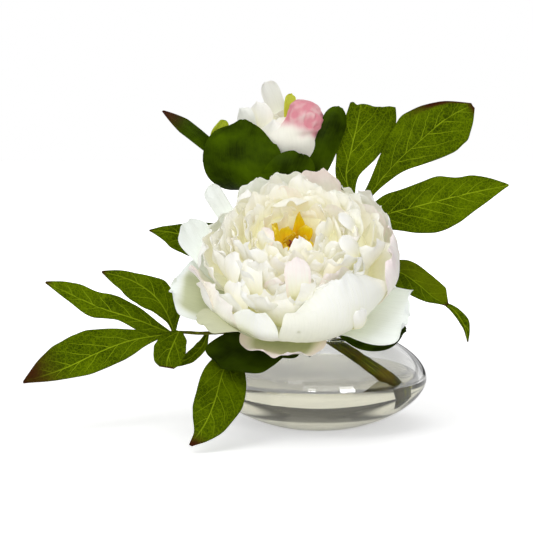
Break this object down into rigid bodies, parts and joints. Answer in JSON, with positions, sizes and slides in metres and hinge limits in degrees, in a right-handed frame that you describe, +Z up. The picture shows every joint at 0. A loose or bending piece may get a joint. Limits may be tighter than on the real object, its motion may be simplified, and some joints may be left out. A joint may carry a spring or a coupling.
{
  "type": "peony in a bud vase",
  "caption": "Cream peony bloom with a pink-flushed bud and green leaves on a forked stem, standing in clear water in a low round glass vase.",
  "frame": {"origin": "centre of the vase's flat base, on the surface that it stands on", "axes": "+Z up along the vase's axis; +X to the right and -Y towards the viewer, the side that the open bloom faces"},
  "size_m": [0.2884, 0.161, 0.2041],
  "materials": {
    "glass": "clear and polished, with a slight grey tint",
    "water": "clear, still and glossy",
    "stem": "dark olive with brown mottling",
    "petal": "cream white with green depths and a pink flush at some rims",
    "bud_petal": "cream with a rose-pink flush",
    "stamen": "golden yellow",
    "carpel": "dark red",
    "leaf": "satin, mottled yellow-green with light veins",
    "sepal": "satin, darker and smoother green"
  },
  "bodies": {
    "root": {"vase": "glass", "water": "water", "stem": "stem", "leaf_left": "leaf", "leaf_upper_left": "leaf", "leaf_upper_right": "leaf", "leaf_lower_right": "leaf", "leaf_hanging": "leaf", "bloom_petals": "petal", "bloom_stamens": "stamen", "bloom_carpels": "carpel", "bloom_calyx": "sepal", "bud_petals": "bud_petal", "bud_calyx": "sepal"}
  },
  "joints": []
}
